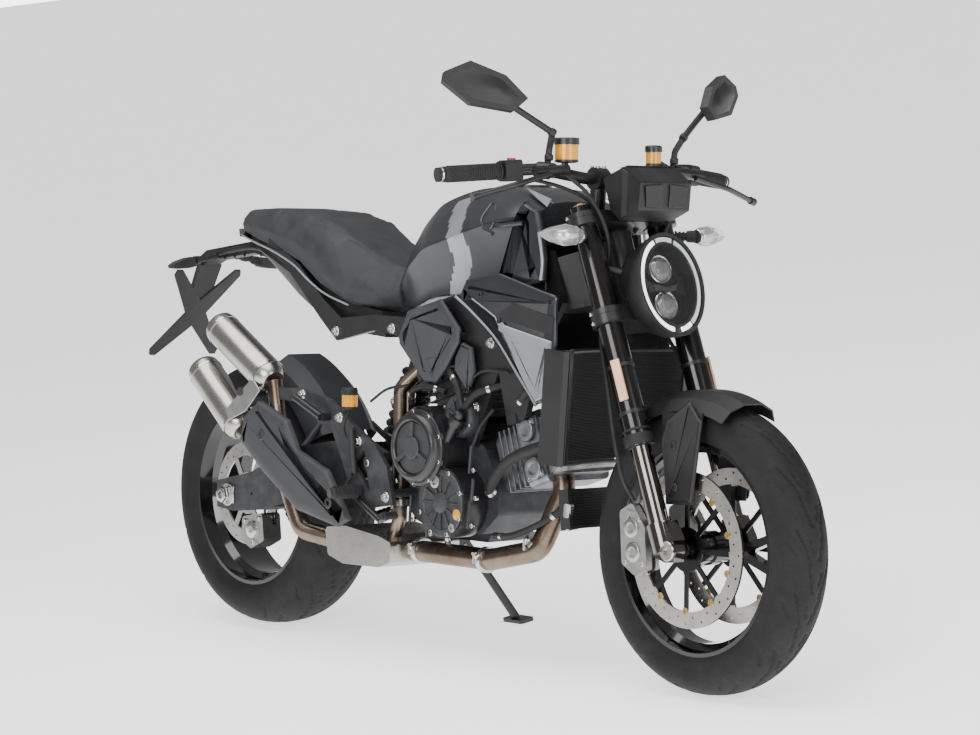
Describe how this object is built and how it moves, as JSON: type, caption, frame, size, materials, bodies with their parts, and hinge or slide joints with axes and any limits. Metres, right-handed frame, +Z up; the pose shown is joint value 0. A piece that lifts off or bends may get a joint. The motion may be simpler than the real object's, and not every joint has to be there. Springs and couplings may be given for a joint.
{
  "type": "standard motorcycle",
  "caption": "Naked road motorcycle with a V-twin engine, parked leaning on its side stand, with turning wheels, steering, folding stand and a hinged fuel cap.",
  "frame": {"origin": "under the middle of the parked machine's bounding box, on the ground", "axes": "+X forwards, +Y to the machine's left, +Z up from the ground; the machine leans 10 degrees to its left on its side stand"},
  "size_m": [2.2319, 0.852, 1.3301],
  "materials": {
    "frame_paint": "satin black powder coat",
    "crankcase_paint": "satin dark grey coated casting",
    "cover_paint": "satin black coated casting",
    "cylinder_metal": "bead-blasted cast aluminium",
    "radiator_black": "matt black fins",
    "plastic_black": "matt black moulded plastic",
    "tank_paint": "satin dark grey paint",
    "panel_grey": "satin metallic grey plastic",
    "plate_grey": "grained dark grey plastic",
    "seat_cover": "matt grained seat cover",
    "suspension_black": "gloss black",
    "chain_steel": "oiled steel",
    "steel": "brushed steel",
    "header_steel": "heat-tinted stainless steel",
    "swingarm_paint": "satin grey coated casting",
    "fork_black": "gloss black anodised",
    "chrome": "polished chrome",
    "lens_glass": "clear",
    "rim_black": "gloss black",
    "tyre_rubber": "matt tyre rubber",
    "grip_rubber": "ribbed rubber",
    "caliper_metal": "anodised aluminium",
    "lamp_clear": "clear lamp plastic"
  },
  "bodies": {
    "chassis": {"frame": "frame_paint", "crankcase": "crankcase_paint", "engine_covers": "cover_paint", "clutch_cover": "cover_paint", "front_cylinder": "cylinder_metal", "rear_cylinder": "cylinder_metal", "radiator": "radiator_black", "radiator_sides": "plastic_black", "fuel_tank": "tank_paint", "side_panels": "panel_grey", "side_plates": "plate_grey", "seat": "seat_cover", "tail": "plastic_black", "plate_holder": "plastic_black", "shock": "suspension_black", "hugger": "plastic_black", "swingarm": "swingarm_paint", "chain": "chain_steel", "rear_axle": "steel", "rear_caliper": "caliper_metal", "exhaust_pipes": "header_steel", "collector": "steel", "heat_shield": "plate_grey", "silencers": "steel", "hangers": "swingarm_paint", "footpegs": "frame_paint", "rear_brake_cylinder": "plastic_black"},
    "front_end": {"yokes": "frame_paint", "fork_tubes": "fork_black", "fork_sliders": "chrome", "front_axle": "steel", "front_calipers": "caliper_metal", "front_fender": "plastic_black", "headlight": "plastic_black", "headlight_lens": "lens_glass", "dash": "plastic_black", "handlebar": "frame_paint", "grips": "grip_rubber", "levers": "frame_paint", "mirrors": "plastic_black", "turn_signals": "lamp_clear"},
    "front_wheel": {"front_tyre": "tyre_rubber", "front_rim": "rim_black", "front_discs": "steel"},
    "rear_wheel": {"rear_tyre": "tyre_rubber", "rear_rim": "rim_black", "rear_disc": "steel", "rear_sprocket": "chain_steel"},
    "side_stand": {"side_stand": "frame_paint"},
    "fuel_cap": {"fuel_cap": "cover_paint"}
  },
  "joints": [
    {"name": "steering", "type": "hinge", "parent": "chassis", "child": "front_end", "pos_m": [0.56004, -0.05579, 0.82997], "axis": [-0.3584, 0.1621, 0.9194], "range_deg": [-30, 30]},
    {"name": "front_wheel_spin", "type": "hinge", "parent": "front_end", "child": "front_wheel", "pos_m": [0.816, -0.14978, 0.29697], "axis": [0, 0.9848, -0.1736], "continuous": true},
    {"name": "rear_wheel_spin", "type": "hinge", "parent": "chassis", "child": "rear_wheel", "pos_m": [-0.676, -0.14717, 0.31174], "axis": [0, 0.9848, -0.1736], "continuous": true},
    {"name": "stand_fold", "type": "hinge", "parent": "chassis", "child": "side_stand", "pos_m": [-0.116, -0.05169, 0.21976], "axis": [0.244, 0.8653, 0.4379], "range_deg": [0, 99]},
    {"name": "fuel_cap_hinge", "type": "hinge", "parent": "chassis", "child": "fuel_cap", "pos_m": [0.3, -0.02076, 1.02868], "axis": [0, 0.9848, -0.1736], "range_deg": [0, 100]}
  ]
}
